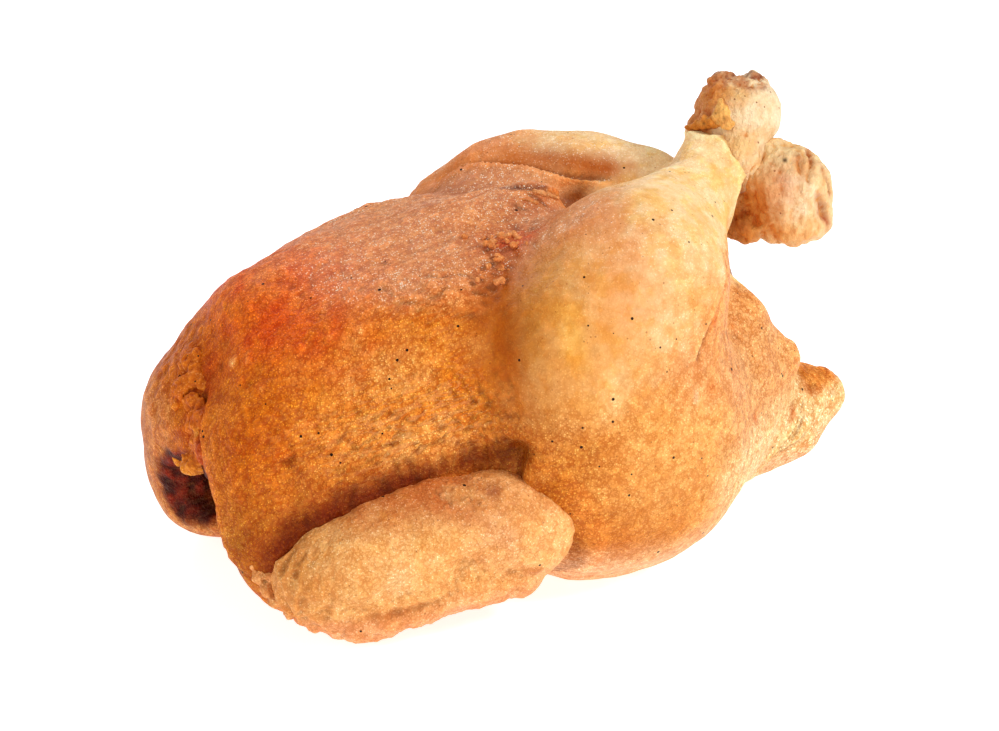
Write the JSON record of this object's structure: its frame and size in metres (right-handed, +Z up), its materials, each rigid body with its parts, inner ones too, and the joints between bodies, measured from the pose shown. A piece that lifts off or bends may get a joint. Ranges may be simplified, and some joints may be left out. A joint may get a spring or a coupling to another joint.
{
  "type": "roast chicken",
  "caption": "Whole roast chicken lying on its back, wings folded at its sides and drumsticks crossed over the tail, with bare knuckle ends and a hollow at the neck.",
  "frame": {"origin": "on the ground under the middle of the bird's bounding box", "axes": "+Z up, +X from the neck end to the tail, +Y to the bird's far side, the side of the lower drumstick end"},
  "size_m": [0.2286, 0.1554, 0.1378],
  "materials": {
    "roast_skin": "golden-brown roasted skin, slightly greasy"
  },
  "bodies": {
    "root": {"roast_chicken": "roast_skin"}
  },
  "joints": []
}
